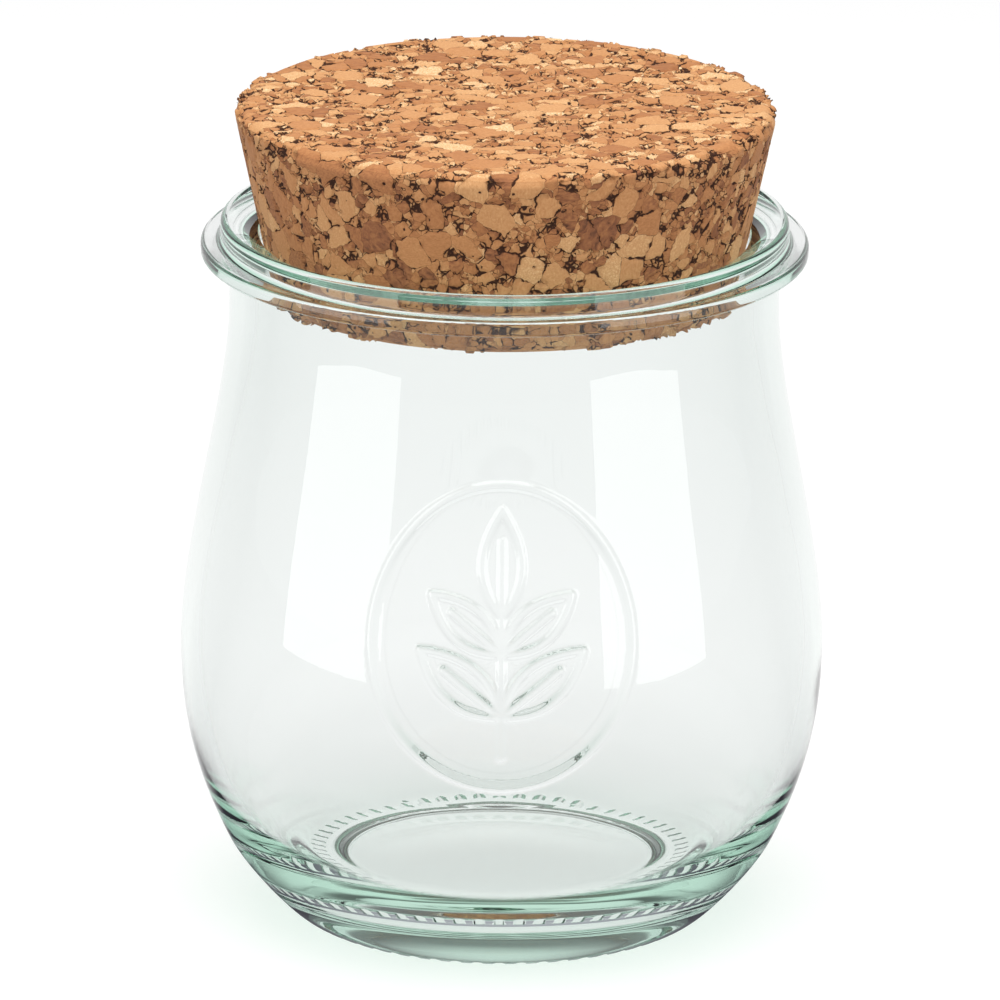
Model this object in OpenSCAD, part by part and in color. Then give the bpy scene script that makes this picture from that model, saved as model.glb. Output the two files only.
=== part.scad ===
// A small glass storage jar with a tapered cork stopper.
// The jar is one shell of pressed glass with a two-step rim and a notched
// standing ring. The stopper is one turned plug of bonded cork grains.
// Millimetres, +Z up, origin at the centre of the standing ring.

/* [Jar body] */
// Height of the glass from the standing ring to the crest of the lip
jar_height = 80; // [74:0.5:100]
// Outside diameter at the widest part of the belly
belly_d = 72.2; // [69:0.2:80]
// Height of the widest part of the belly
belly_z = 30.8; // [27:0.2:36]
// Thickness of the glass at the belly
wall = 2.2; // [1.6:0.1:2.8]
// Outside diameter of the straight neck under the rim
neck_d = 61.4; // [60.2:0.2:63]
// Length of the straight neck between the flange and the shoulder
neck_len = 4.9; // [3:0.1:8]
// How far the shoulder draws in before it swells into the belly
waist = 0.24; // [0:0.02:0.6]

/* [Rim] */
// Outside diameter of the flange round the mouth
flange_d = 67.8; // [66.8:0.2:70]
// Thickness of the flange
flange_t = 1.75; // [1.3:0.05:2.4]
// Height of the raised lip above the flange
lip_h = 2.35; // [1.9:0.05:3]
// Outside diameter of the raised lip
lip_d = 63.4; // [62.8:0.2:64.4]
// Width of the rounded crest of the lip
crest_w = 1.1; // [1:0.05:1.5]

/* [Mouth] */
// Inside diameter of the bore that the cork is pushed into
bore_d = 54.4; // [53:0.2:55.4]
// Depth of the bore's upper edge below the crest of the lip
seat_drop = 2.4; // [2:0.1:3]
// Rounding of the bore's upper edge
seat_round = 0.9; // [0.6:0.05:1.2]

/* [Base] */
// Outside diameter of the flat ring that the jar stands on
ring_d = 46; // [43:0.5:49]
// Width of the flat standing ring
ring_w = 2.6; // [2.2:0.1:3.6]
// Diameter of the hollow under the base
dish_d = 34; // [26:0.5:36]
// Depth of the hollow under the base at its edge
dish_depth = 1.3; // [0.8:0.1:2]
// How much deeper the hollow is at its middle
dish_rise = 0.5; // [0:0.1:1]
// Outside diameter where the heel starts to turn under
heel_d = 62.1; // [60:0.1:64]
// Height where the heel starts to turn under
heel_z = 9.1; // [8:0.1:11]
// Thickness of the glass floor above the standing ring's plane
floor_t = 5.4; // [4.6:0.1:7]
// Number of notches across the standing ring
notch_count = 60; // [24:1:72]
// Width of one notch at the standing face
notch_w = 1.3; // [0.8:0.05:1.5]
// Depth of one notch
notch_depth = 0.35; // [0.2:0.05:0.5]
// How far a notch runs in from the ring's outer edge
notch_run = 1.5; // [1:0.1:1.9]

/* [Cork] */
// Height of the cork above the crest of the lip
cork_above = 13; // [8:0.5:20]
// Depth of the cork below the crest of the lip
cork_below = 8; // [6:0.5:10]
// Lean of the cork's side from the vertical, in degrees
cork_taper = 12; // [8:0.5:14]
// Rounding of the cork's edges
cork_round = 0.6; // [0.3:0.05:1]
// Gap between the cork's side and the bore's rounded edge
cork_gap = 0.15; // [0.1:0.05:0.3]

/* [Hidden] */
$fn = 96;

glass_tint = "#bcd8c8";
cork_brown = "#bf8450";

// Small roundings of the rim
neck_fillet = 0.9;
flange_edge = 0.55;
lip_fillet = 0.6;
crest_outer = 0.6;
crest_inner = 0.35;

// Widening of the bore from its edge down to the shoulder
bore_draft = 0.2;
// Rise of the glass floor from its edge to its middle
floor_rise = 0.5;
// Radius of the flat floor inside
floor_r = ring_d / 2 - 4.5;

belly_r = belly_d / 2;
neck_r = neck_d / 2;
flange_r = flange_d / 2;
lip_r = lip_d / 2;
bore_r = bore_d / 2;
ring_r = ring_d / 2;
dish_r = dish_d / 2;
heel_r = heel_d / 2;

flange_top = jar_height - lip_h;
flange_low = flange_top - flange_t;
neck_low = flange_low - neck_len;
shoulder_span = neck_low - belly_z;
lower_span = belly_z - heel_z;

// How far each curve keeps its direction, as a share of its height
shoulder_pull = 0.26;
belly_pull_up = 0.3;
belly_pull_down = 0.46;
heel_pull_up = 0.3;
heel_pull_down = 0.34;
ring_pull = 0.16;
floor_pull = 0.6;
// Lean of the wall at the heel from the vertical, and of the ring's edge
heel_lean = 25.4;
ring_lean = 11.3;

// Centres of the roundings on each side of the mouth's slope
seat_c = [bore_r + seat_round, jar_height - seat_drop];
crest_c = [lip_r - crest_w + crest_inner, jar_height - crest_inner];
mouth_run = crest_c - seat_c;
mouth_slope = atan2(mouth_run.y, mouth_run.x)
    - asin((seat_round - crest_inner) / norm(mouth_run));

cork_top = jar_height + cork_above;
cork_low = jar_height - cork_below;

// A notch is the side of a round bar laid across the ring
notch_r = (notch_w * notch_w / 4 + notch_depth * notch_depth) / (2 * notch_depth);
notch_len = 2 * notch_run;

// Points along a round stretch about c, from one direction to another
function arc(c, r, from, to, n = 6) =
    [for (i = [0:n]) let (a = from + (to - from) * i / n) c + r * [cos(a), sin(a)]];

// Points along a smooth curve from a to d, pulled by b and c, after its first
function curve(a, b, c, d, n) =
    [for (i = [1:n])
        let (t = i / n, u = 1 - t)
        u * u * u * a + 3 * u * u * t * b + 3 * u * t * t * c + t * t * t * d];

// Hollow under the base, from the axis out to the flat standing ring
function underside() =
    let (top = [0, dish_depth + dish_rise],
         edge = [dish_r, dish_depth],
         inner = [ring_r - ring_w, 0])
    concat(
        [top],
        curve(top, [dish_r / 2, top.y], [dish_r * 0.8, edge.y], edge, 6),
        curve(edge, [(edge.x + inner.x) / 2, edge.y],
            [(edge.x + inner.x) / 2, 0], inner, 6),
        [[ring_r, 0]]);

// Outer wall, from the standing ring up over the heel, belly and shoulder
function outer_wall() =
    let (ring = [ring_r, 0],
         heel = [heel_r, heel_z],
         belly = [belly_r, belly_z],
         neck = [neck_r, neck_low],
         up = [sin(heel_lean), cos(heel_lean)])
    concat(
        curve(ring, ring + ring_pull * heel_z * [cos(ring_lean), sin(ring_lean)],
            heel - heel_pull_down * heel_z * up, heel, 12),
        curve(heel, heel + heel_pull_up * lower_span * up,
            belly - [0, belly_pull_down * lower_span], belly, 14),
        curve(belly, belly + [0, belly_pull_up * shoulder_span],
            neck - [waist, shoulder_pull * shoulder_span], neck, 20));

// Flange, raised lip and the slope that leads into the bore
function rim() =
    concat(
        arc([neck_r + neck_fillet, flange_low - neck_fillet], neck_fillet, 180, 90),
        arc([flange_r - flange_edge, flange_low + flange_edge], flange_edge, -90, 0),
        arc([flange_r - flange_edge, flange_top - flange_edge], flange_edge, 0, 90),
        arc([lip_r + lip_fillet, flange_top + lip_fillet], lip_fillet, 270, 180),
        arc([lip_r - crest_outer, jar_height - crest_outer], crest_outer, 0, 90),
        arc(crest_c, crest_inner, 90, 90 + mouth_slope),
        arc(seat_c, seat_round, 90 + mouth_slope, 180));

// Inner wall, from the bore down to the middle of the floor
function inner_wall() =
    let (neck = [bore_r + bore_draft, neck_low],
         belly = [belly_r - wall, belly_z],
         floor_edge = [floor_r, floor_t],
         inner_span = belly_z - floor_t)
    concat(
        [neck],
        curve(neck, neck - [0, shoulder_pull * shoulder_span],
            belly + [0, belly_pull_up * shoulder_span], belly, 20),
        curve(belly, belly - [0, floor_pull * inner_span],
            floor_edge + [floor_pull * (belly.x - floor_r), 0], floor_edge, 18),
        curve(floor_edge, [floor_r / 2, floor_t],
            [floor_r / 3, floor_t + floor_rise], [0, floor_t + floor_rise], 6));

// Notches that leave short radial lands on the outer half of the ring
module notches() {
    for (i = [0:notch_count - 1])
        rotate([0, 0, i * 360 / notch_count])
            translate([ring_r - notch_run, 0, notch_depth - notch_r])
                rotate([0, 90, 0])
                    cylinder(r = notch_r, h = notch_len, $fn = 24);
}

module jar_body() {
    color(glass_tint, 0.5)
        difference() {
            rotate_extrude()
                polygon(concat(underside(), outer_wall(), rim(), inner_wall()));
            notches();
        }
}

// Radius of the cork's side at height z, so that it clears the bore's edge
function cork_r(z) =
    seat_c.x - (seat_round + cork_gap) / cos(cork_taper)
        + (z - seat_c.y) * tan(cork_taper);

// Centre of the rounding of the cork's edge at height z
function cork_edge(z) = [cork_r(z) - cork_round / cos(cork_taper), z];

module cork_lid() {
    color(cork_brown)
        rotate_extrude()
            polygon(concat(
                [[0, cork_low]],
                arc(cork_edge(cork_low + cork_round), cork_round, -90, -cork_taper),
                arc(cork_edge(cork_top - cork_round), cork_round, -cork_taper, 90),
                [[0, cork_top]]));
}

jar_body();
cork_lid();
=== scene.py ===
# %% [markdown]
# # A small glass jar with a cork stopper
# The jar is one shell of pressed glass: a tulip-shaped body, a mouth with a
# raised lip over a flange, and a thick base with a ring of small notches.
# A tapered plug of bonded cork grains closes it. The measured model gives the
# size and the place of both pieces, and this script gives them their looks.

import math

import bmesh
import bpy
import numpy as np
from mathutils import Matrix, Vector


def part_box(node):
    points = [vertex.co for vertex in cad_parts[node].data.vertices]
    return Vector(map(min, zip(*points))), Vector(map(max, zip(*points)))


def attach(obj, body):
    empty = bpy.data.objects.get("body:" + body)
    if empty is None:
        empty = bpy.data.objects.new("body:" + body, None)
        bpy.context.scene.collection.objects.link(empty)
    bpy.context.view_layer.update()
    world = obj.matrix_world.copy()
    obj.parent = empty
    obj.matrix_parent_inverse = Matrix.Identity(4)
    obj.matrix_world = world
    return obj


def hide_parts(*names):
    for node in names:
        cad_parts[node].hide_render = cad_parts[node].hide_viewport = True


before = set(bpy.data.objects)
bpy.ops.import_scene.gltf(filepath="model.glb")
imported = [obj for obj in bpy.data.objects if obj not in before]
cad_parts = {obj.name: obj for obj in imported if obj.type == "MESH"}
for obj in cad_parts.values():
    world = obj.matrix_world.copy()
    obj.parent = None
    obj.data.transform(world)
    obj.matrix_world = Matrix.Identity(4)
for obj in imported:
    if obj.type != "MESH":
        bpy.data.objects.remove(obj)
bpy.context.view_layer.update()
jar_low, jar_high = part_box("jar_body")
cork_low, cork_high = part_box("cork_lid")
MM = 0.001

# %% [markdown]
# ## The camera
# A product picture like this is taken with a long lens from well back, a
# little above the object, so that its outline is nearly free of perspective.
# A camera is placed from three real sizes: how far away it stands, how steeply
# it looks down, and how wide a strip it sees at the jar.

# %% Place the camera
CAMERA_DISTANCE = 1.4
CAMERA_ELEVATION = math.radians(17.27)
VIEW_WIDTH_AT_JAR = 0.11212
AIM = (-0.0003, 0.0, 0.0470)
CAMERA_ROLL = math.radians(0.45)


def place_camera():
    data = bpy.data.cameras.new("camera")
    data.sensor_width = 36.0
    data.lens = data.sensor_width * CAMERA_DISTANCE / VIEW_WIDTH_AT_JAR
    data.clip_start = 0.05
    data.clip_end = 20.0
    camera = bpy.data.objects.new("camera", data)
    bpy.context.scene.collection.objects.link(camera)
    back = CAMERA_DISTANCE * math.cos(CAMERA_ELEVATION)
    up = CAMERA_DISTANCE * math.sin(CAMERA_ELEVATION)
    camera.location = (AIM[0], AIM[1] - back, AIM[2] + up)
    tilt = Matrix.Rotation(math.pi / 2 - CAMERA_ELEVATION, 3, "X")
    roll = Matrix.Rotation(CAMERA_ROLL, 3, "Z")
    camera.rotation_euler = (tilt @ roll).to_euler()
    bpy.context.scene.camera = camera
    return camera


camera = place_camera()
print("lens", round(camera.data.lens, 1), "mm")

# %% [markdown]
# ## Helpers for node trees
# Every tree below is built from two small functions: one adds a node and fills
# or links its inputs, and one adds a sum, product or other calculation.


# %% Node helpers
def add(tree, kind, inputs=None, **settings):
    node = tree.nodes.new(kind)
    for name, value in settings.items():
        setattr(node, name, value)
    for name, value in (inputs or {}).items():
        if isinstance(value, bpy.types.NodeSocket):
            tree.links.new(value, node.inputs[name])
        else:
            node.inputs[name].default_value = value
    return node


def calc(tree, operation, *values):
    filled = dict(enumerate(values))
    return add(tree, "ShaderNodeMath", filled, operation=operation).outputs[0]


def split(tree, value):
    """The three numbers that a vector or a colour holds."""
    return add(tree, "ShaderNodeSeparateXYZ", {0: value}).outputs


def new_material(name):
    material = bpy.data.materials.new(name)
    material.use_nodes = True
    tree = material.node_tree
    tree.nodes.clear()
    return material, tree


# %% [markdown]
# ## Clear glass with a green tint
# Soda glass is nearly colourless through a thin wall and green where light
# runs a long way inside it, along the rim and the heel. That is what volume
# absorption does, so the surface itself stays colourless and smooth. Light on
# its way to the floor or the cork isn't bent: for those rays the glass is a
# plain clear sheet with a faint tint, which keeps its shadow pale.

# %% Glass material
GLASS_IOR = 1.5
GLASS_ABSORB_COLOUR = (0.10, 0.70, 0.42, 1.0)
GLASS_ABSORB_DENSITY = 10.0
LAMPLIGHT_PASSED = (0.93, 0.96, 0.945, 1.0)


def make_glass():
    material, tree = new_material("green_tinted_glass")
    surface = add(tree, "ShaderNodeBsdfPrincipled", {
        "Base Color": (1.0, 1.0, 1.0, 1.0),
        "Roughness": 0.0,
        "IOR": GLASS_IOR,
        "Transmission Weight": 1.0,
    })
    clear = add(tree, "ShaderNodeBsdfTransparent", {"Color": LAMPLIGHT_PASSED})
    path = add(tree, "ShaderNodeLightPath").outputs
    passing = calc(tree, "MAXIMUM", path["Is Shadow Ray"], path["Is Diffuse Ray"])
    both = add(tree, "ShaderNodeMixShader", {
        0: passing, 1: surface.outputs[0], 2: clear.outputs[0]})
    volume = add(tree, "ShaderNodeVolumeAbsorption", {
        "Color": GLASS_ABSORB_COLOUR,
        "Density": GLASS_ABSORB_DENSITY,
    })
    add(tree, "ShaderNodeOutputMaterial", {
        "Surface": both.outputs[0],
        "Volume": volume.outputs[0],
    })
    return material


glass = make_glass()

# %% [markdown]
# ## The jar's outline
# A pressed jar is round, so its shape is one outline turned about the axis.
# The outline runs from the hollow under the base, out over the heel, up the
# belly and the shoulder, over the flange and the lip, and back down inside to
# the floor. Long stretches are smooth curves, and every edge has a rounding.

# %% Sizes of the glass
JAR_HEIGHT = jar_high[2]
BELLY_R = jar_high[0]
BELLY_Z = 30.8 * MM
WALL = 2.2 * MM
NECK_R = 30.7 * MM
NECK_LENGTH = 4.9 * MM
WAIST = 0.24 * MM
FLANGE_R = 33.9 * MM
FLANGE_THICK = 1.75 * MM
LIP_HEIGHT = 2.35 * MM
LIP_R = 31.7 * MM
CREST_WIDTH = 1.1 * MM
BORE_R = 27.2 * MM
SEAT_DROP = 2.4 * MM
SEAT_ROUND = 0.9 * MM
RING_R = 23.0 * MM
RING_WIDTH = 2.6 * MM
DISH_R = 17.0 * MM
DISH_DEPTH = 1.3 * MM
DISH_RISE = 0.5 * MM
HEEL_R = 31.05 * MM
HEEL_Z = 9.1 * MM
HEEL_LEAN = math.radians(25.4)
RING_LEAN = math.radians(11.3)
FLOOR_Z = 5.4 * MM
FLOOR_RISE = 0.5 * MM
FLOOR_R = RING_R - 4.5 * MM
BORE_DRAFT = 0.2 * MM
RING_PULL, HEEL_PULL_BELOW = 0.16, 0.34
HEEL_PULL_ABOVE, BELLY_PULL_BELOW = 0.3, 0.46
BELLY_PULL_ABOVE, NECK_PULL, FLOOR_PULL = 0.3, 0.26, 0.6
NECK_FILLET = 0.9 * MM
FLANGE_EDGE = 0.55 * MM
LIP_FILLET = 0.6 * MM
CREST_OUTER = 0.6 * MM
CREST_INNER = 0.35 * MM

FLANGE_TOP = JAR_HEIGHT - LIP_HEIGHT
FLANGE_LOW = FLANGE_TOP - FLANGE_THICK
NECK_LOW = FLANGE_LOW - NECK_LENGTH


# %% Draw the outline
def arc(centre, radius, start, end, steps=8):
    angles = np.radians(np.linspace(start, end, steps + 1))
    return [(centre[0] + radius * math.cos(a), centre[1] + radius * math.sin(a))
            for a in angles]


def curve(a, b, c, d, steps):
    t = np.linspace(0.0, 1.0, steps + 1)[1:, None]
    u = 1.0 - t
    a, b, c, d = (np.array(p, float) for p in (a, b, c, d))
    points = u ** 3 * a + 3 * u * u * t * b + 3 * u * t * t * c + t ** 3 * d
    return [tuple(p) for p in points]


def underside():
    top = (0.0, DISH_DEPTH + DISH_RISE)
    edge = (DISH_R, DISH_DEPTH)
    inner = (RING_R - RING_WIDTH, 0.0)
    middle = (edge[0] + inner[0]) / 2
    dish = [top] + curve(top, (DISH_R / 2, top[1]), (DISH_R * 0.8, edge[1]), edge, 10)
    step = curve(edge, (middle, edge[1]), (middle, 0.0), inner, 10)
    ring = [(inner[0] + (RING_R - inner[0]) * k / 3, 0.0) for k in (1, 2, 3)]
    return dish + step + ring


def outer_wall():
    ring = (RING_R, 0.0)
    heel = (HEEL_R, HEEL_Z)
    belly = (BELLY_R, BELLY_Z)
    neck = (NECK_R, NECK_LOW)
    up = (math.sin(HEEL_LEAN), math.cos(HEEL_LEAN))
    lower_span = BELLY_Z - HEEL_Z
    shoulder_span = NECK_LOW - BELLY_Z
    pulls = [RING_PULL * HEEL_Z, HEEL_PULL_BELOW * HEEL_Z,
             HEEL_PULL_ABOVE * lower_span, BELLY_PULL_BELOW * lower_span,
             BELLY_PULL_ABOVE * shoulder_span, NECK_PULL * shoulder_span]
    first = (ring[0] + pulls[0] * math.cos(RING_LEAN), pulls[0] * math.sin(RING_LEAN))
    below = (heel[0] - pulls[1] * up[0], heel[1] - pulls[1] * up[1])
    above = (heel[0] + pulls[2] * up[0], heel[1] + pulls[2] * up[1])
    return (curve(ring, first, below, heel, 16)
            + curve(heel, above, (belly[0], belly[1] - pulls[3]), belly, 16)
            + curve(belly, (belly[0], belly[1] + pulls[4]),
                    (neck[0] - WAIST, neck[1] - pulls[5]), neck, 30))


def rim():
    seat = (BORE_R + SEAT_ROUND, JAR_HEIGHT - SEAT_DROP)
    crest = (LIP_R - CREST_WIDTH + CREST_INNER, JAR_HEIGHT - CREST_INNER)
    run = (crest[0] - seat[0], crest[1] - seat[1])
    slope = math.degrees(math.atan2(run[1], run[0])
                         - math.asin((SEAT_ROUND - CREST_INNER) / math.hypot(*run)))
    flange_edge_r = FLANGE_R - FLANGE_EDGE
    return (arc((NECK_R + NECK_FILLET, FLANGE_LOW - NECK_FILLET), NECK_FILLET, 180, 90)
            + arc((flange_edge_r, FLANGE_LOW + FLANGE_EDGE), FLANGE_EDGE, -90, 0)
            + arc((flange_edge_r, FLANGE_TOP - FLANGE_EDGE), FLANGE_EDGE, 0, 90)
            + arc((LIP_R + LIP_FILLET, FLANGE_TOP + LIP_FILLET), LIP_FILLET, 270, 180)
            + arc((LIP_R - CREST_OUTER, JAR_HEIGHT - CREST_OUTER), CREST_OUTER, 0, 90)
            + arc(crest, CREST_INNER, 90, 90 + slope)
            + arc(seat, SEAT_ROUND, 90 + slope, 180))


def inner_wall():
    neck = (BORE_R + BORE_DRAFT, NECK_LOW)
    belly = (BELLY_R - WALL, BELLY_Z)
    edge = (FLOOR_R, FLOOR_Z)
    middle = (0.0, FLOOR_Z + FLOOR_RISE)
    shoulder_span = NECK_LOW - BELLY_Z
    inner_span = BELLY_Z - FLOOR_Z
    return ([neck]
            + curve(neck, (neck[0], neck[1] - NECK_PULL * shoulder_span),
                    (belly[0], belly[1] + BELLY_PULL_ABOVE * shoulder_span), belly, 26)
            + curve(belly, (belly[0], belly[1] - FLOOR_PULL * inner_span),
                    (edge[0] + FLOOR_PULL * (belly[0] - edge[0]), edge[1]), edge, 26)
            + curve(edge, (FLOOR_R / 2, FLOOR_Z), (FLOOR_R / 3, middle[1]), middle, 10))


under = underside()
outside = outer_wall()
jar_outline = under + outside + rim() + inner_wall()
print("outline points:", len(jar_outline))


# %% Turn the outline into a shell
COLUMNS = 144


def turn(outline, columns):
    """Turn an outline that starts and ends on the axis into a closed mesh."""
    mesh = bmesh.new()
    place = mesh.verts.layers.float.new("place")
    angles = [2 * math.pi * (k + 0.5) / columns for k in range(columns)]
    rings = []
    for index, (radius, height) in enumerate(outline):
        if radius < 1e-9:
            ring = [mesh.verts.new((0.0, 0.0, height))]
        else:
            ring = [mesh.verts.new((radius * math.cos(a), radius * math.sin(a), height))
                    for a in angles]
        for vertex in ring:
            vertex[place] = index
        rings.append(ring)
    for low, high in zip(rings, rings[1:]):
        for k in range(columns):
            n = (k + 1) % columns
            corners = [low[k % len(low)], low[n % len(low)],
                       high[n % len(high)], high[k % len(high)]]
            unique = list(dict.fromkeys(corners))
            mesh.faces.new(unique)
    bmesh.ops.recalc_face_normals(mesh, faces=mesh.faces)
    return mesh, place


jar_mesh, place = turn(jar_outline, COLUMNS)
print("turned shell:", len(jar_mesh.faces), "faces")


# %% [markdown]
# ## Finer mesh where the glass has detail
# The plain wall needs few faces, but the raised sprig on the front and the
# notches under the base need many. Only those faces are cut smaller, and the
# new corners are put back on the true outline, so that no flat spots show.


# %% Refine parts of the shell
def outline_point(position):
    """Smooth point between the outline's points, by a Catmull-Rom curve."""
    points = np.array(jar_outline)
    index = np.clip(np.floor(position).astype(int), 1, len(points) - 3)
    t = (position - index)[:, None]
    p0, p1, p2, p3 = (points[index + k] for k in (-1, 0, 1, 2))
    return 0.5 * (2 * p1 + (p2 - p0) * t + (2 * p0 - 5 * p1 + 4 * p2 - p3) * t ** 2
                  + (3 * p1 - p0 - 3 * p2 + p3) * t ** 3)


def refine(mesh, place, wanted, cuts):
    """Cut the wanted faces smaller and reseat their corners on the outline."""
    faces = [face for face in mesh.faces if wanted(face)]
    edges = list({edge for face in faces for edge in face.edges})
    old = set(mesh.verts)
    bmesh.ops.subdivide_edges(mesh, edges=edges, cuts=cuts, use_grid_fill=True)
    fresh = [vertex for vertex in mesh.verts if vertex not in old]
    where = outline_point(np.array([vertex[place] for vertex in fresh]))
    for vertex, (radius, height) in zip(fresh, where):
        angle = math.atan2(vertex.co.y, vertex.co.x)
        vertex.co = (radius * math.cos(angle), radius * math.sin(angle), height)


FRONT_HALF_ANGLE = math.radians(29)
MOTIF_Z = 41.8 * MM
MOTIF_REACH = 19.5 * MM
RING_START = len(under) - 4
HEEL_END = len(under) + 4
WALL_END = len(under) + len(outside) - 1


def on_front(face):
    centre = face.calc_center_median()
    index = sum(vertex[place] for vertex in face.verts) / len(face.verts)
    return (len(under) <= index <= WALL_END
            and abs(math.atan2(centre.x, -centre.y)) < FRONT_HALF_ANGLE
            and abs(centre.z - MOTIF_Z) < MOTIF_REACH)


def on_ring(face):
    index = sum(vertex[place] for vertex in face.verts) / len(face.verts)
    return RING_START < index < HEEL_END


refine(jar_mesh, place, on_front, 6)
refine(jar_mesh, place, on_ring, 5)


def finish_mesh(mesh, name):
    data = bpy.data.meshes.new(name)
    mesh.to_mesh(data)
    mesh.free()
    data.polygons.foreach_set("use_smooth", [True] * len(data.polygons))
    piece = bpy.data.objects.new(name, data)
    bpy.context.scene.collection.objects.link(piece)
    return piece


jar_shell = finish_mesh(jar_mesh, "jar_shell")
jar_shell.data.calc_loop_triangles()
print("refined shell:", len(jar_shell.data.loop_triangles), "triangles")

# %% [markdown]
# ## Helpers for Geometry Nodes
# A node group here takes the shell in, changes it by named sizes, and gives it
# back with its material. The result is then turned into a plain mesh.


# %% Geometry Nodes helpers
def new_group(name, inputs):
    group = bpy.data.node_groups.new(name, "GeometryNodeTree")
    group.interface.new_socket("Geometry", in_out="INPUT", socket_type="NodeSocketGeometry")
    for label, kind, value in inputs:
        socket = group.interface.new_socket(label, in_out="INPUT", socket_type=kind)
        socket.default_value = value
    group.interface.new_socket("Geometry", in_out="OUTPUT", socket_type="NodeSocketGeometry")
    given = group.nodes.new("NodeGroupInput")
    return group, given.outputs


def end_group(group, geometry, material):
    real = add(group, "GeometryNodeRealizeInstances", {"Geometry": geometry})
    coated = add(group, "GeometryNodeSetMaterial",
                 {"Geometry": real.outputs[0], "Material": material})
    add(group, "NodeGroupOutput", {"Geometry": coated.outputs[0]})


def apply_group(piece, group, name):
    """Run a node group on a piece and keep the result as a plain mesh."""
    modifier = piece.modifiers.new(group.name, "NODES")
    modifier.node_group = group
    view = bpy.context.evaluated_depsgraph_get()
    data = bpy.data.meshes.new_from_object(piece.evaluated_get(view))
    data.name = name
    bpy.data.objects.remove(piece)
    made = bpy.data.objects.new(name, data)
    bpy.context.scene.collection.objects.link(made)
    return made


def vector(group, x=0.0, y=0.0, z=0.0):
    return add(group, "ShaderNodeCombineXYZ", {0: x, 1: y, 2: z}).outputs[0]


def attribute(group, name):
    node = add(group, "GeometryNodeInputNamedAttribute", data_type="FLOAT")
    node.inputs["Name"].default_value = name
    return node.outputs[0]


def shift(group, geometry, offset):
    return add(group, "GeometryNodeSetPosition", {
        "Geometry": geometry, "Offset": offset}).outputs[0]


def along_normal(group, amount):
    """An offset straight out of the surface, by an amount in metres."""
    normal = add(group, "GeometryNodeInputNormal").outputs[0]
    return add(group, "ShaderNodeVectorMath", {0: normal, "Scale": amount},
               operation="SCALE").outputs[0]


def from_axis(group, here):
    """How far a place is from the jar's axis."""
    squares = [calc(group, "MULTIPLY", here[k], here[k]) for k in (0, 1)]
    return calc(group, "SQRT", calc(group, "ADD", *squares))


# %% [markdown]
# ## The pressed motif on the front
# A mould leaves round-topped raised lines on pressed glass. Here they draw a
# plain oval with a leafy sprig in it. The motif is drawn flat with curves:
# one leaf, repeated in pairs along a stem. Each corner of the wall then asks
# how far the nearest line is and rises by a round-topped amount.


# %% Motif node group
def bend(group, start, middle, end):
    return add(group, "GeometryNodeCurveQuadraticBezier", {
        "Resolution": 20, "Start": start, "Middle": middle, "End": end}).outputs[0]


def join(group, *parts):
    node = group.nodes.new("GeometryNodeJoinGeometry")
    for part in parts:
        group.links.new(part, node.inputs[0])
    return node.outputs[0]


def place_curve(group, geometry, move=None, size=None):
    inputs = {"Geometry": geometry}
    for label, value in (("Translation", move), ("Scale", size)):
        if value is not None:
            inputs[label] = value
    return add(group, "GeometryNodeTransform", inputs).outputs[0]


LEAF_WIDEST = 0.45
LEAF_RIB = 0.7


def leaf_shape(group, length, width):
    base = (0.0, 0.0, 0.0)
    half = calc(group, "MULTIPLY", length, LEAF_WIDEST)
    tip = vector(group, 0.0, length)
    other_side = calc(group, "MULTIPLY", width, -1.0)
    left = bend(group, base, vector(group, other_side, half), tip)
    right = bend(group, base, vector(group, width, half), tip)
    rib_end = vector(group, 0.0, calc(group, "MULTIPLY", length, LEAF_RIB))
    rib = add(group, "GeometryNodeCurvePrimitiveLine", {"Start": base, "End": rib_end})
    return join(group, left, right, rib.outputs[0])


def sprig(group, given):
    """Pairs of leaves along a stem, with one leaf on top."""
    leaf = leaf_shape(group, given["Leaf length"], given["Leaf width"])
    stem = add(group, "GeometryNodeMeshLine", {
        "Count": given["Leaf pairs"],
        "Start Location": vector(group, 0.0, given["First leaf"]),
        "Offset": vector(group, 0.0, given["Leaf gap"])}, mode="OFFSET").outputs[0]
    index = add(group, "GeometryNodeInputIndex").outputs[0]
    size = calc(group, "SUBTRACT", 1.0, calc(group, "MULTIPLY", index, given["Leaf taper"]))
    sides = []
    for side in (1.0, -1.0):
        lean = calc(group, "MULTIPLY", given["Leaf lean"], -side)
        sides.append(add(group, "GeometryNodeInstanceOnPoints", {
            "Points": stem, "Instance": leaf,
            "Rotation": vector(group, 0.0, 0.0, lean), "Scale": size}).outputs[0])
    top = place_curve(group, leaf, move=vector(group, 0.0, given["Top leaf"]))
    line = add(group, "GeometryNodeCurvePrimitiveLine", {
        "Start": vector(group, 0.0, given["Stem foot"]),
        "End": vector(group, 0.0, given["Top leaf"])}).outputs[0]
    return join(group, *sides, top, line)


LINE_ROUNDNESS = 0.8
WALL_START = len(under) + 6


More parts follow.
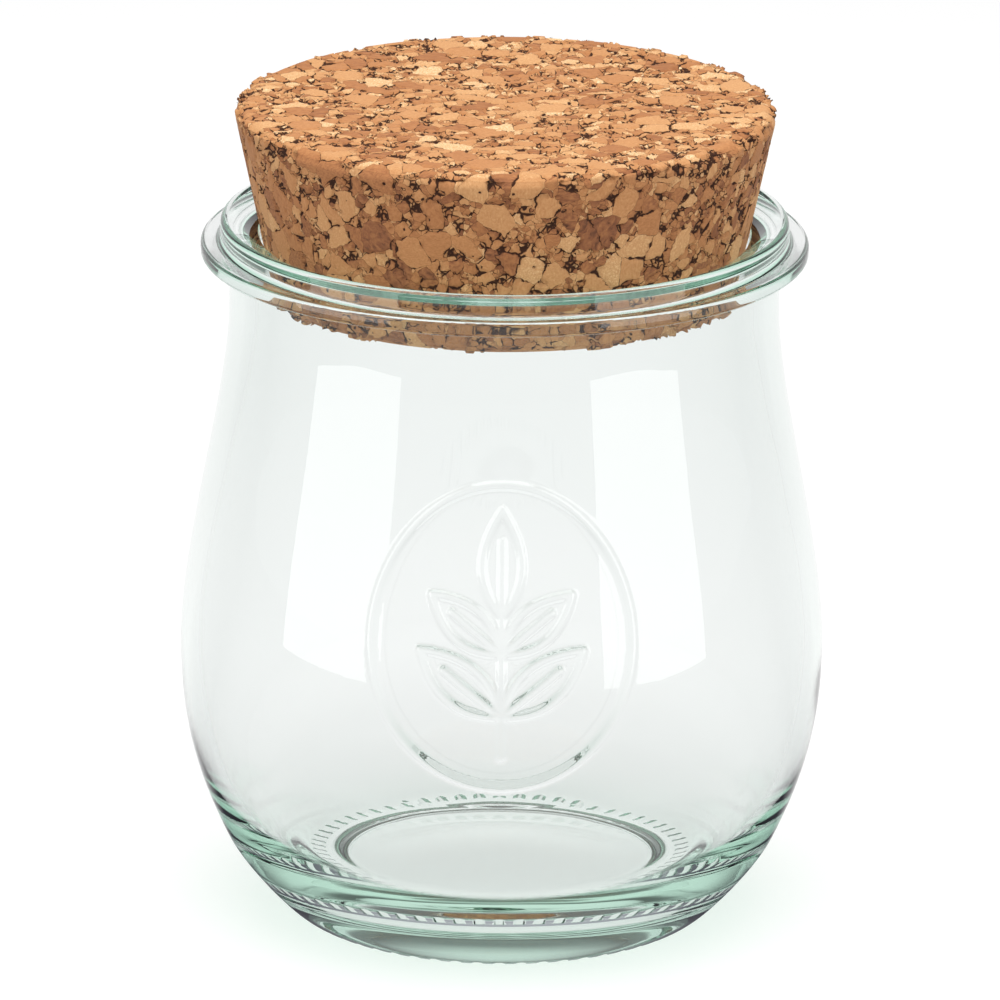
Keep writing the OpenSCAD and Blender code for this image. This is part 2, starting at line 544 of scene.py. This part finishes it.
def make_motif_group():
    group, given = new_group("pressed_motif", [
        ("Oval half width", "NodeSocketFloat", 15.0 * MM),
        ("Oval half height", "NodeSocketFloat", 16.8 * MM),
        ("Leaf pairs", "NodeSocketInt", 2),
        ("Leaf length", "NodeSocketFloat", 11.5 * MM),
        ("Leaf width", "NodeSocketFloat", 4.6 * MM),
        ("Leaf lean", "NodeSocketFloat", math.radians(52)),
        ("Leaf taper", "NodeSocketFloat", 0.12),
        ("First leaf", "NodeSocketFloat", -8.5 * MM),
        ("Leaf gap", "NodeSocketFloat", 7.0 * MM),
        ("Top leaf", "NodeSocketFloat", 2.6 * MM),
        ("Stem foot", "NodeSocketFloat", -13.2 * MM),
        ("Line half width", "NodeSocketFloat", 0.62 * MM),
        ("Line height", "NodeSocketFloat", 0.42 * MM),
        ("Centre height", "NodeSocketFloat", MOTIF_Z),
        ("Wrap radius", "NodeSocketFloat", 35.5 * MM),
    ])
    circle = add(group, "GeometryNodeCurvePrimitiveCircle", {"Resolution": 96, "Radius": 1.0})
    oval_size = vector(group, given["Oval half width"], given["Oval half height"], 1.0)
    oval = place_curve(group, circle.outputs[0], size=oval_size)
    drawing = join(group, oval, sprig(group, given))
    real = add(group, "GeometryNodeRealizeInstances", {"Geometry": drawing}).outputs[0]
    lines = add(group, "GeometryNodeCurveToMesh", {"Curve": real}).outputs[0]
    here = split(group, add(group, "GeometryNodeInputPosition").outputs[0])
    angle = calc(group, "ARCTAN2", here[0], calc(group, "MULTIPLY", here[1], -1.0))
    flat = vector(group, calc(group, "MULTIPLY", angle, given["Wrap radius"]),
                  calc(group, "SUBTRACT", here[2], given["Centre height"]))
    near = add(group, "GeometryNodeProximity", target_element="EDGES")
    group.links.new(lines, near.inputs[0])
    source = [s for s in near.inputs if s.name in ("Source Position", "Sample Position")][0]
    group.links.new(flat, source)
    distance = near.outputs["Distance"]
    share = calc(group, "DIVIDE", distance, given["Line half width"])
    dome = calc(group, "SUBTRACT", 1.0, calc(group, "MULTIPLY", share, share))
    dome = calc(group, "POWER", calc(group, "MAXIMUM", dome, 0.0), LINE_ROUNDNESS)
    rise = calc(group, "MULTIPLY", dome, given["Line height"])
    where = attribute(group, "place")
    outer = calc(group, "MULTIPLY",
                 calc(group, "GREATER_THAN", where, float(WALL_START)),
                 calc(group, "LESS_THAN", where, float(WALL_END)))
    offset = along_normal(group, calc(group, "MULTIPLY", rise, outer))
    end_group(group, shift(group, given["Geometry"], offset), glass)
    return group


# %% [markdown]
# ## Notches under the base
# The ring that the jar stands on is crossed by short notches, which keep the
# hot glass from marking when it leaves the mould. Each one is the side of a
# round bar, so the height of its floor follows from a circle, and the same
# sum is repeated round the ring by folding the angle. The wall above also gets
# a very low waviness, as pressed glass has.


# %% Notch node group
NOTCH_END_SLOPE = 2.0


def make_notch_group():
    group, given = new_group("ring_notches", [
        ("Count", "NodeSocketInt", 60),
        ("Width", "NodeSocketFloat", 1.3 * MM),
        ("Depth", "NodeSocketFloat", 0.35 * MM),
        ("Inner radius", "NodeSocketFloat", RING_R - 1.5 * MM),
        ("Wave height", "NodeSocketFloat", 0.03 * MM),
        ("Wave scale", "NodeSocketFloat", 75.0),
    ])
    here = split(group, add(group, "GeometryNodeInputPosition").outputs[0])
    radius = from_axis(group, here)
    turns = calc(group, "DIVIDE", calc(group, "ARCTAN2", here[1], here[0]), 2 * math.pi)
    steps = calc(group, "MULTIPLY", turns, given["Count"])
    folded = calc(group, "FRACT", calc(group, "ADD", steps, 0.5))
    girth = calc(group, "MULTIPLY", radius, 2 * math.pi)
    aside = calc(group, "MULTIPLY", calc(group, "SUBTRACT", folded, 0.5),
                 calc(group, "DIVIDE", girth, given["Count"]))
    half = calc(group, "DIVIDE", given["Width"], 2.0)
    bar = calc(group, "DIVIDE",
               calc(group, "ADD", calc(group, "MULTIPLY", half, half),
                    calc(group, "MULTIPLY", given["Depth"], given["Depth"])),
               calc(group, "MULTIPLY", given["Depth"], 2.0))
    inside = calc(group, "MAXIMUM", calc(group, "SUBTRACT", calc(group, "MULTIPLY", bar, bar),
                                         calc(group, "MULTIPLY", aside, aside)), 0.0)
    arch = calc(group, "SUBTRACT", calc(group, "SQRT", inside),
                calc(group, "SUBTRACT", bar, given["Depth"]))
    missing = calc(group, "MAXIMUM", calc(group, "SUBTRACT", given["Inner radius"], radius), 0.0)
    notch = calc(group, "SUBTRACT", arch, calc(group, "MULTIPLY", missing, NOTCH_END_SLOPE))
    lift = calc(group, "MAXIMUM", calc(group, "SUBTRACT", notch, here[2]), 0.0)
    where = attribute(group, "place")
    in_ring = calc(group, "MULTIPLY",
                   calc(group, "GREATER_THAN", where, RING_START - 0.5),
                   calc(group, "LESS_THAN", where, HEEL_END + 0.5))
    cut = shift(group, given["Geometry"],
                vector(group, 0.0, 0.0, calc(group, "MULTIPLY", lift, in_ring)))
    wave = add(group, "ShaderNodeTexNoise", {"Scale": given["Wave scale"], "Detail": 1.0},
               noise_dimensions="3D").outputs[0]
    swing = calc(group, "MULTIPLY", calc(group, "SUBTRACT", wave, 0.5), given["Wave height"])
    above = calc(group, "GREATER_THAN", where, HEEL_END + 2.0)
    amount = calc(group, "MULTIPLY", calc(group, "MULTIPLY", swing, 2.0), above)
    end_group(group, shift(group, cut, along_normal(group, amount)), glass)
    return group


jar = apply_group(jar_shell, make_motif_group(), "jar_with_motif")
jar = apply_group(jar, make_notch_group(), "jar_glass")
jar.data.attributes.remove(jar.data.attributes["place"])
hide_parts("jar_body")
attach(jar, "jar")
print("jar:", [round(v * 1000, 2) for v in jar.dimensions], "mm")

# %% [markdown]
# ## Bonded cork
# The stopper is made of cork grains pressed together with a little glue. The
# grains are flat-sided crumbs from half a millimetre to three, each cut across
# its own fibres, with dark gaps where they don't quite meet. A Voronoi pattern
# gives such crumbs. One pattern has all cells nearly alike, so three sizes are
# mixed. The same recipe colours the surface and dents the mesh, so that dark
# gaps are also real hollows.


# %% Grain recipe for both kinds of node tree
GRAIN_SIZES = (2.9 * MM, 1.45 * MM, 0.7 * MM)
GRAIN_PICK = (0.62, 0.42)
GRAIN_WARP = 0.35 * MM
SWIRL_SIZE = 1.1 * MM
GAP_GATE_SIZE = 1.6 * MM
GAP_GATE = (0.42, 0.72)
GAP_WIDTH = 0.26 * MM
GAP_LEAST = 0.015 * MM
HOLE_SPACING = 1.25 * MM
HOLE_PICK = 0.45
HOLE_REACH = 0.42


def noise(tree, point, size, detail=2.0, roughness=0.5):
    return add(tree, "ShaderNodeTexNoise", {
        "Vector": point, "Scale": 1.0 / size, "Detail": detail, "Roughness": roughness})


def mix_values(tree, share, first, second):
    """First where share is 0, second where it is 1."""
    more = calc(tree, "MULTIPLY", share, calc(tree, "SUBTRACT", second, first))
    return calc(tree, "ADD", first, more)


def soft_step(tree, value, start, end):
    node = add(tree, "ShaderNodeMapRange", {
        "Value": value, "From Min": start, "From Max": end}, interpolation_type="SMOOTHSTEP")
    return node.outputs[0]


def cells(tree, point, size):
    """One size of grain: a random number for each, and how far its edge is in metres."""
    inputs = {"Vector": point, "Scale": 1.0 / size}
    centre = add(tree, "ShaderNodeTexVoronoi", inputs, feature="F1")
    edge = add(tree, "ShaderNodeTexVoronoi", inputs, feature="DISTANCE_TO_EDGE")
    parts = split(tree, centre.outputs["Color"])
    return parts[0], parts[1], calc(tree, "MULTIPLY", edge.outputs["Distance"], size)


def grains(tree, point):
    """Mix three sizes of grain, the larger ones lying over the smaller."""
    swirl = noise(tree, point, SWIRL_SIZE)
    push = add(tree, "ShaderNodeVectorMath", {
        0: swirl.outputs["Color"], 1: (0.5, 0.5, 0.5)}, operation="SUBTRACT").outputs[0]
    bent = add(tree, "ShaderNodeVectorMath", {
        0: push, 1: (GRAIN_WARP * 2,) * 3, 2: point}, operation="MULTIPLY_ADD").outputs[0]
    coarse, medium, fine = (cells(tree, bent, size) for size in GRAIN_SIZES)
    use_medium = calc(tree, "GREATER_THAN", medium[1], GRAIN_PICK[1])
    mixed = [mix_values(tree, use_medium, fine[k], medium[k]) for k in range(3)]
    use_coarse = calc(tree, "GREATER_THAN", coarse[1], GRAIN_PICK[0])
    tone, other, edge = (mix_values(tree, use_coarse, mixed[k], coarse[k]) for k in range(3))
    return bent, tone, other, edge


def gaps(tree, point, edge):
    """Dark gaps: thin along some grain edges, and small holes here and there."""
    gate = noise(tree, point, GAP_GATE_SIZE, 1.0).outputs[0]
    width = calc(tree, "MULTIPLY", soft_step(tree, gate, *GAP_GATE), GAP_WIDTH)
    width = calc(tree, "MAXIMUM", width, GAP_LEAST)
    closed = soft_step(tree, calc(tree, "DIVIDE", edge, width), 0.35, 1.0)
    crack = calc(tree, "SUBTRACT", 1.0, closed)
    hole = add(tree, "ShaderNodeTexVoronoi", {
        "Vector": point, "Scale": 1.0 / HOLE_SPACING}, feature="F1")
    pick = split(tree, hole.outputs["Color"])[2]
    reach = calc(tree, "MULTIPLY", calc(tree, "SUBTRACT", pick, HOLE_PICK), HOLE_REACH)
    pit = soft_step(tree, calc(tree, "SUBTRACT", reach, hole.outputs["Distance"]), 0.0, 0.07)
    return calc(tree, "MAXIMUM", crack, pit)


# %% [markdown]
# ## Cork colour
# Each grain takes one of a row of cork tones, from red-brown bark to pale tan.
# Fibres run through a grain in a direction of its own, which is done by
# stretching a fine noise by that grain's random numbers. The top face is also
# painted lighter: painted light for the lamp overhead, which lights it more than
# the side does.


# %% Cork material
CORK_TONES = (
    (0.00, (0.150, 0.052, 0.020)),
    (0.10, (0.270, 0.095, 0.035)),
    (0.30, (0.440, 0.175, 0.060)),
    (0.55, (0.560, 0.250, 0.092)),
    (0.80, (0.660, 0.340, 0.140)),
    (0.93, (0.780, 0.470, 0.225)),
    (1.00, (0.900, 0.660, 0.390)),
)
GAP_COLOUR = (0.050, 0.016, 0.006, 1.0)
# Painted light: how much lighter the cork's top face is painted than its side.
TOP_PAINTED_LIGHT = 0.10
TONE_BASE = 0.12
TONE_SPREAD = 0.72
FIBRE_SPREAD = 0.75
FIBRE_STRETCH = (5.0, 0.6)


def ramp(tree, value, stops):
    node = add(tree, "ShaderNodeValToRGB", {"Fac": value})
    points = node.color_ramp.elements
    while len(points) < len(stops):
        points.new(0.5)
    for point, (position, colour) in zip(points, stops):
        point.position = position
        point.color = (*colour, 1.0)
    return node.outputs[0]


def mix_colours(tree, share, first, second, blend="MIX"):
    node = add(tree, "ShaderNodeMix", {6: first, 7: second}, data_type="RGBA", blend_type=blend)
    if isinstance(share, bpy.types.NodeSocket):
        tree.links.new(share, node.inputs[0])
    else:
        node.inputs[0].default_value = share
    return node.outputs[2]


def make_cork_material():
    material, tree = new_material("bonded_cork")
    point = add(tree, "ShaderNodeTexCoord").outputs["Object"]
    bent, tone, other, edge = grains(tree, point)
    gap = gaps(tree, bent, edge)
    third = calc(tree, "FRACT", calc(tree, "MULTIPLY", tone, 7.0))
    stretch = add(tree, "ShaderNodeCombineXYZ", {
        axis: calc(tree, "MULTIPLY_ADD", number, *FIBRE_STRETCH)
        for axis, number in enumerate((tone, other, third))}).outputs[0]
    along = add(tree, "ShaderNodeVectorMath", {
        0: bent, 1: stretch}, operation="MULTIPLY").outputs[0]
    fibre = noise(tree, along, 1.0 * MM, 3.0, 0.65).outputs[0]
    height = split(tree, point)[2]
    # Painted light: a mask for the top face, which is painted lighter as if lit from above.
    painted_top_light = soft_step(tree, height, cork_high[2] - 0.5 * MM, cork_high[2] - 0.1 * MM)
    shade = calc(tree, "ADD", calc(tree, "MULTIPLY", tone, TONE_SPREAD), TONE_BASE)
    streak = calc(tree, "MULTIPLY", calc(tree, "SUBTRACT", fibre, 0.5), FIBRE_SPREAD)
    shade = calc(tree, "ADD", shade, streak)
    # Painted light: the top face gets a lighter tone.
    shade = calc(tree, "ADD", shade, calc(tree, "MULTIPLY", painted_top_light, TOP_PAINTED_LIGHT))
    colour = ramp(tree, shade, CORK_TONES)
    colour = mix_colours(tree, gap, colour, GAP_COLOUR)
    relief = calc(tree, "SUBTRACT", calc(tree, "MULTIPLY", fibre, 0.35), gap)
    relief = calc(tree, "ADD", relief, calc(tree, "MULTIPLY", other, 0.3))
    bump = add(tree, "ShaderNodeBump", {"Height": relief, "Strength": 0.7, "Distance": 0.18 * MM})
    surface = add(tree, "ShaderNodeBsdfPrincipled", {
        "Base Color": colour,
        "Roughness": mix_values(tree, gap, 0.72, 0.95),
        "Normal": bump.outputs[0],
        "Specular IOR Level": 0.3,
    })
    add(tree, "ShaderNodeOutputMaterial", {"Surface": surface.outputs[0]})
    return material


cork_brown = make_cork_material()
print("cork tones:", len(CORK_TONES))

# %% [markdown]
# ## The stopper's mesh
# The plug is a cone with rounded edges. Its ends are made as a web: ring
# number k has eight times k corners, so every face is about the same size and
# none crowd together in the middle. The rings of the side continue the
# outermost one.

# %% Make the plug
CORK_TAPER = math.radians(12)
CORK_ROUND = 0.6 * MM
CORK_GAP = 0.15 * MM
WEB_RINGS = 75
CORK_STEP = 0.3 * MM


def cork_r(z):
    edge = (SEAT_ROUND + CORK_GAP) / math.cos(CORK_TAPER)
    return (BORE_R + SEAT_ROUND - edge
            + (z - (JAR_HEIGHT - SEAT_DROP)) * math.tan(CORK_TAPER))


def cork_edge(z):
    return cork_r(z) - CORK_ROUND / math.cos(CORK_TAPER), z


def even_steps(points, step):
    """The same line, with corners the same distance apart."""
    points = np.array(points)
    lengths = np.hypot(*np.diff(points, axis=0).T)
    along = np.concatenate([[0.0], np.cumsum(lengths)])
    wanted = np.linspace(0.0, along[-1], round(along[-1] / step) + 1)
    return np.column_stack([np.interp(wanted, along, points[:, k]) for k in (0, 1)])


def web(rings):
    """Corners of a disc of radius 1 on a square grid of steps, and its faces."""
    steps = np.arange(-rings, rings + 1)
    x, y = (g.ravel().astype(float) for g in np.meshgrid(steps, steps, indexing="ij"))
    ring = np.maximum(abs(x), abs(y))
    sideways = abs(x) >= abs(y)
    safe_x = np.where(x == 0, 1.0, x)
    safe_y = np.where(y == 0, 1.0, y)
    angle = np.where(sideways, math.pi / 4 * y / safe_x + math.pi * (x < 0),
                     math.pi / 2 - math.pi / 4 * x / safe_y + math.pi * (y < 0))
    corners = np.column_stack([ring / rings * np.cos(angle), ring / rings * np.sin(angle)])
    size = 2 * rings + 1
    squares = np.arange(size - 1)
    i, j = (g.ravel() for g in np.meshgrid(squares, squares, indexing="ij"))
    first = i * size + j
    faces = np.column_stack([first, first + size, first + size + 1, first + 1])
    rim = np.flatnonzero(ring == rings)
    column = np.round(angle[rim] / (2 * math.pi) * 8 * rings).astype(int) % (8 * rings)
    order = np.empty(8 * rings, int)
    order[column] = rim
    return corners, faces, order


def make_plug():
    low, high = cork_low[2], cork_high[2]
    lean = -math.degrees(CORK_TAPER)
    side = (arc(cork_edge(low + CORK_ROUND), CORK_ROUND, -90, lean)
            + arc(cork_edge(high - CORK_ROUND), CORK_ROUND, lean, 90))
    side = even_steps(side, CORK_STEP)
    disc, disc_faces, order = web(WEB_RINGS)
    columns = len(order)
    bottom = np.column_stack([disc * side[0, 0], np.full(len(disc), low)])
    top = np.column_stack([disc * side[-1, 0], np.full(len(disc), high)])
    angles = 2 * math.pi * np.arange(columns) / columns
    rows = [np.column_stack([r * np.cos(angles), r * np.sin(angles), np.full(columns, z)])
            for r, z in side[1:-1]]
    corners = np.concatenate([bottom, top] + rows)
    first_row = 2 * len(disc)
    row_index = [first_row + k * columns + np.arange(columns) for k in range(len(rows))]
    row_index = [order] + row_index + [len(disc) + order]
    faces = [disc_faces[:, ::-1], disc_faces + len(disc)]
    for below, above in zip(row_index, row_index[1:]):
        faces.append(np.column_stack([below, np.roll(below, -1), np.roll(above, -1), above]))
    data = bpy.data.meshes.new("cork_plug")
    data.from_pydata(corners.tolist(), [], np.concatenate(faces).tolist())
    data.polygons.foreach_set("use_smooth", [True] * len(data.polygons))
    plug = bpy.data.objects.new("cork_plug", data)
    bpy.context.scene.collection.objects.link(plug)
    return plug


plug = make_plug()
print("plug:", len(plug.data.polygons), "faces,",
      [round(v * 1000, 2) for v in plug.dimensions], "mm")

# %% [markdown]
# ## Hollows in the cork
# The same grain recipe now runs in Geometry Nodes. Every grain sits a little
# deeper or higher than the next, the gaps are cut in, and crumbs are missing
# along the two edges. Everything moves inwards, so the plug still fits.


# %% Dent the plug
EDGE_INSET = 0.3 * MM
UPPER_HALF = (75 * MM, 90 * MM)
CHIP_REACH = 0.9 * MM
CHIP_PICK = 0.62


def make_dent_group():
    group, given = new_group("cork_hollows", [
        ("Grain depth", "NodeSocketFloat", 0.10 * MM),
        ("Gap depth", "NodeSocketFloat", 0.28 * MM),
        ("Chip depth", "NodeSocketFloat", 0.55 * MM),
    ])
    point = add(group, "GeometryNodeInputPosition").outputs[0]
    bent, tone, other, edge = grains(group, point)
    gap = gaps(group, bent, edge)
    here = split(group, point)
    height = here[2]
    edges = (cork_high[2] - EDGE_INSET, cork_low[2] + EDGE_INSET)
    from_top, from_low = (calc(group, "ABSOLUTE", calc(group, "SUBTRACT", height, z))
                          for z in edges)
    nearest = calc(group, "MINIMUM", from_top, from_low)
    near = calc(group, "SUBTRACT", 1.0, soft_step(group, nearest, EDGE_INSET, 1.0 * MM))
    upper = soft_step(group, height, *UPPER_HALF)
    rim_r = mix_values(group, upper, cork_edge(cork_low[2])[0], cork_edge(cork_high[2])[0])
    radius = from_axis(group, here)
    from_rim = soft_step(group, calc(group, "SUBTRACT", radius, rim_r), -CHIP_REACH, 0.0)
    chip = calc(group, "MULTIPLY", calc(group, "MULTIPLY", near, from_rim),
                calc(group, "GREATER_THAN", other, CHIP_PICK))
    depth = calc(group, "MULTIPLY", calc(group, "SUBTRACT", 1.0, other), given["Grain depth"])
    depth = calc(group, "ADD", depth, calc(group, "MULTIPLY", gap, given["Gap depth"]))
    depth = calc(group, "ADD", depth, calc(group, "MULTIPLY", chip, given["Chip depth"]))
    offset = along_normal(group, calc(group, "MULTIPLY", depth, -1.0))
    end_group(group, shift(group, given["Geometry"], offset), cork_brown)
    return group


cork = apply_group(plug, make_dent_group(), "cork_stopper")
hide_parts("cork_lid")
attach(cork, "cork")
print("cork:", [round(v * 1000, 2) for v in cork.dimensions], "mm")

# %% [markdown]
# ## The studio
# Clear glass has no colour of its own: all that is seen is what it bends and
# mirrors. So the room is made for the glass. The floor and the horizon are
# white, which the glass shows through its walls. What it mirrors goes from
# white behind the jar to dark at its sides, as between black cards, and two
# tall soft lamps stand in front of it, which it shows as bright bars.

# %% What the glass mirrors, by direction
ROOM_MIRRORED = (
    (0.00, (0.42, 0.42, 0.46)),
    (0.10, (0.36, 0.36, 0.40)),
    (0.35, (0.10, 0.10, 0.12)),
    (0.66, (0.10, 0.10, 0.12)),
    (0.86, (1.00, 1.00, 1.00)),
)


def kind_of_ray(tree):
    """1 for light that the camera sees, that came through glass, or that was mirrored."""
    path = add(tree, "ShaderNodeLightPath").outputs
    mirrored = calc(tree, "MULTIPLY", path["Is Glossy Ray"], path["Is Reflection Ray"])
    return path["Is Camera Ray"], path["Is Transmission Ray"], mirrored


def mirrored_room(tree, towards):
    """Brightness of the room by how far back a direction points."""
    unit = add(tree, "ShaderNodeVectorMath", {0: towards}, operation="NORMALIZE").outputs[0]
    back = split(tree, unit)[1]
    return ramp(tree, calc(tree, "MULTIPLY_ADD", back, 0.5, 0.5), ROOM_MIRRORED)


# %% [markdown]
# The floor is pale and keeps the jar's shadow. A part of its brightness is
# added for the camera alone, so that it meets the white background without an
# edge. More is added for what is seen through the glass, because real glass
# gathers light on the floor below it, which these lamps don't reproduce.

# %% Floor
# Of each kind of view: how much of the floor's white is lit, how much is added.
FLOOR_SEEN = (0.74, 0.29)
FLOOR_THROUGH = (0.26, 0.66)


def make_floor():
    material, tree = new_material("studio_floor")
    seen, through, mirrored = kind_of_ray(tree)
    grey = mix_values(tree, through, FLOOR_SEEN[0], FLOOR_THROUGH[0])
    grey = calc(tree, "MULTIPLY", grey, calc(tree, "SUBTRACT", 1.0, mirrored))
    colour = add(tree, "ShaderNodeCombineColor", {0: grey, 1: grey, 2: grey}).outputs[0]
    diffuse = add(tree, "ShaderNodeBsdfDiffuse", {"Color": colour})
    fill = calc(tree, "ADD", calc(tree, "MULTIPLY", seen, FLOOR_SEEN[1]),
                calc(tree, "MULTIPLY", through, FLOOR_THROUGH[1]))
    white = add(tree, "ShaderNodeCombineColor", {0: fill, 1: fill, 2: fill}).outputs[0]
    place = add(tree, "ShaderNodeTexCoord").outputs["Object"]
    shown = mix_colours(tree, mirrored, white, mirrored_room(tree, place))
    added = add(tree, "ShaderNodeEmission", {"Color": shown, "Strength": 1.0})
    both = add(tree, "ShaderNodeAddShader", {0: diffuse.outputs[0], 1: added.outputs[0]})
    add(tree, "ShaderNodeOutputMaterial", {"Surface": both.outputs[0]})
    mesh = bmesh.new()
    bmesh.ops.create_circle(mesh, cap_ends=True, segments=64, radius=3.0)
    floor = finish_mesh(mesh, "studio_floor")
    floor.data.materials.append(material)
    return floor


floor = make_floor()

# %% [markdown]
# The world lights the room evenly. For light that is mirrored or has come
# through glass it turns darker overhead, as a studio is above its white
# walls, and that draws dark lines along the rim and the heel.

# %% World
WORLD_LIGHT = 0.72
OVERHEAD = 0.16
DARK_FROM = 0.12
DARK_TO = 0.60


def make_world():
    world = bpy.data.worlds.new("studio")
    world.use_nodes = True
    tree = world.node_tree
    tree.nodes.clear()
    seen, through, mirrored = kind_of_ray(tree)
    direction = add(tree, "ShaderNodeTexCoord").outputs["Generated"]
    up = split(tree, direction)[2]
    high = soft_step(tree, up, DARK_FROM, DARK_TO)
    dark = (OVERHEAD,) * 3 + (1.0,)
    light = (WORLD_LIGHT,) * 3 + (1.0,)
    white = (1.0, 1.0, 1.0, 1.0)
    colour = mix_colours(tree, through, light, mix_colours(tree, high, white, dark))
    colour = mix_colours(tree, mirrored, colour,
                         mix_colours(tree, high, mirrored_room(tree, direction), dark))
    colour = mix_colours(tree, seen, colour, white)
    back = add(tree, "ShaderNodeBackground", {"Color": colour, "Strength": 1.0})
    add(tree, "ShaderNodeOutputWorld", {"Surface": back.outputs[0]})
    bpy.context.scene.world = world


make_world()

# %% [markdown]
# Two soft lamps stand in front of the jar, left and right. They are tall and
# narrow and start at the floor, because the wall of the jar leans forward and
# mirrors what is low in the room. A wide lamp overhead gives the cork its
# light and the jar its soft shadow.

# %% Lamps
BAR_SIZE = (0.18, 0.33)
BAR_POWER = 0.42
TOP_SIZE = (0.5, 0.5)
TOP_POWER = 2.6
BAR_AZIMUTHS = {"lamp_left": -60, "lamp_right": 53.5}
BAR_DISTANCE = 0.255
BAR_HEIGHT = 0.17
TOP_PLACE = (0.0, -0.1, 0.6)
TOP_TILT = math.radians(-9)


def soft_lamp(name, size, power, place, turned):
    data = bpy.data.lights.new(name, "AREA")
    data.shape = "RECTANGLE"
    data.size, data.size_y = size
    data.energy = power
    lamp = bpy.data.objects.new(name, data)
    lamp.location = place
    lamp.rotation_euler = turned.to_euler()
    lamp.visible_camera = False
    lamp.visible_transmission = False
    bpy.context.scene.collection.objects.link(lamp)
    return lamp


def bar_lamp(name, azimuth):
    """A standing lamp turned to the jar; azimuth 0 is straight in front."""
    angle = math.radians(azimuth)
    place = (BAR_DISTANCE * math.sin(angle), -BAR_DISTANCE * math.cos(angle), BAR_HEIGHT)
    turned = Matrix.Rotation(angle, 3, "Z") @ Matrix.Rotation(math.pi / 2, 3, "X")
    lamp = soft_lamp(name, BAR_SIZE, BAR_POWER, place, turned)
    lamp.visible_diffuse = False
    return lamp


for name, azimuth in BAR_AZIMUTHS.items():
    bar_lamp(name, azimuth)
soft_lamp("lamp_top", TOP_SIZE, TOP_POWER, TOP_PLACE, Matrix.Rotation(TOP_TILT, 3, "X"))

# %% [markdown]
# ## Render settings for glass
# Light meets a glass wall many times, so more bounces are allowed than usual.

# %% Settings
scene = bpy.context.scene
scene.cycles.max_bounces = 24
scene.cycles.glossy_bounces = 16
scene.cycles.transmission_bounces = 24
scene.cycles.transparent_max_bounces = 16
scene.view_settings.view_transform = "Standard"
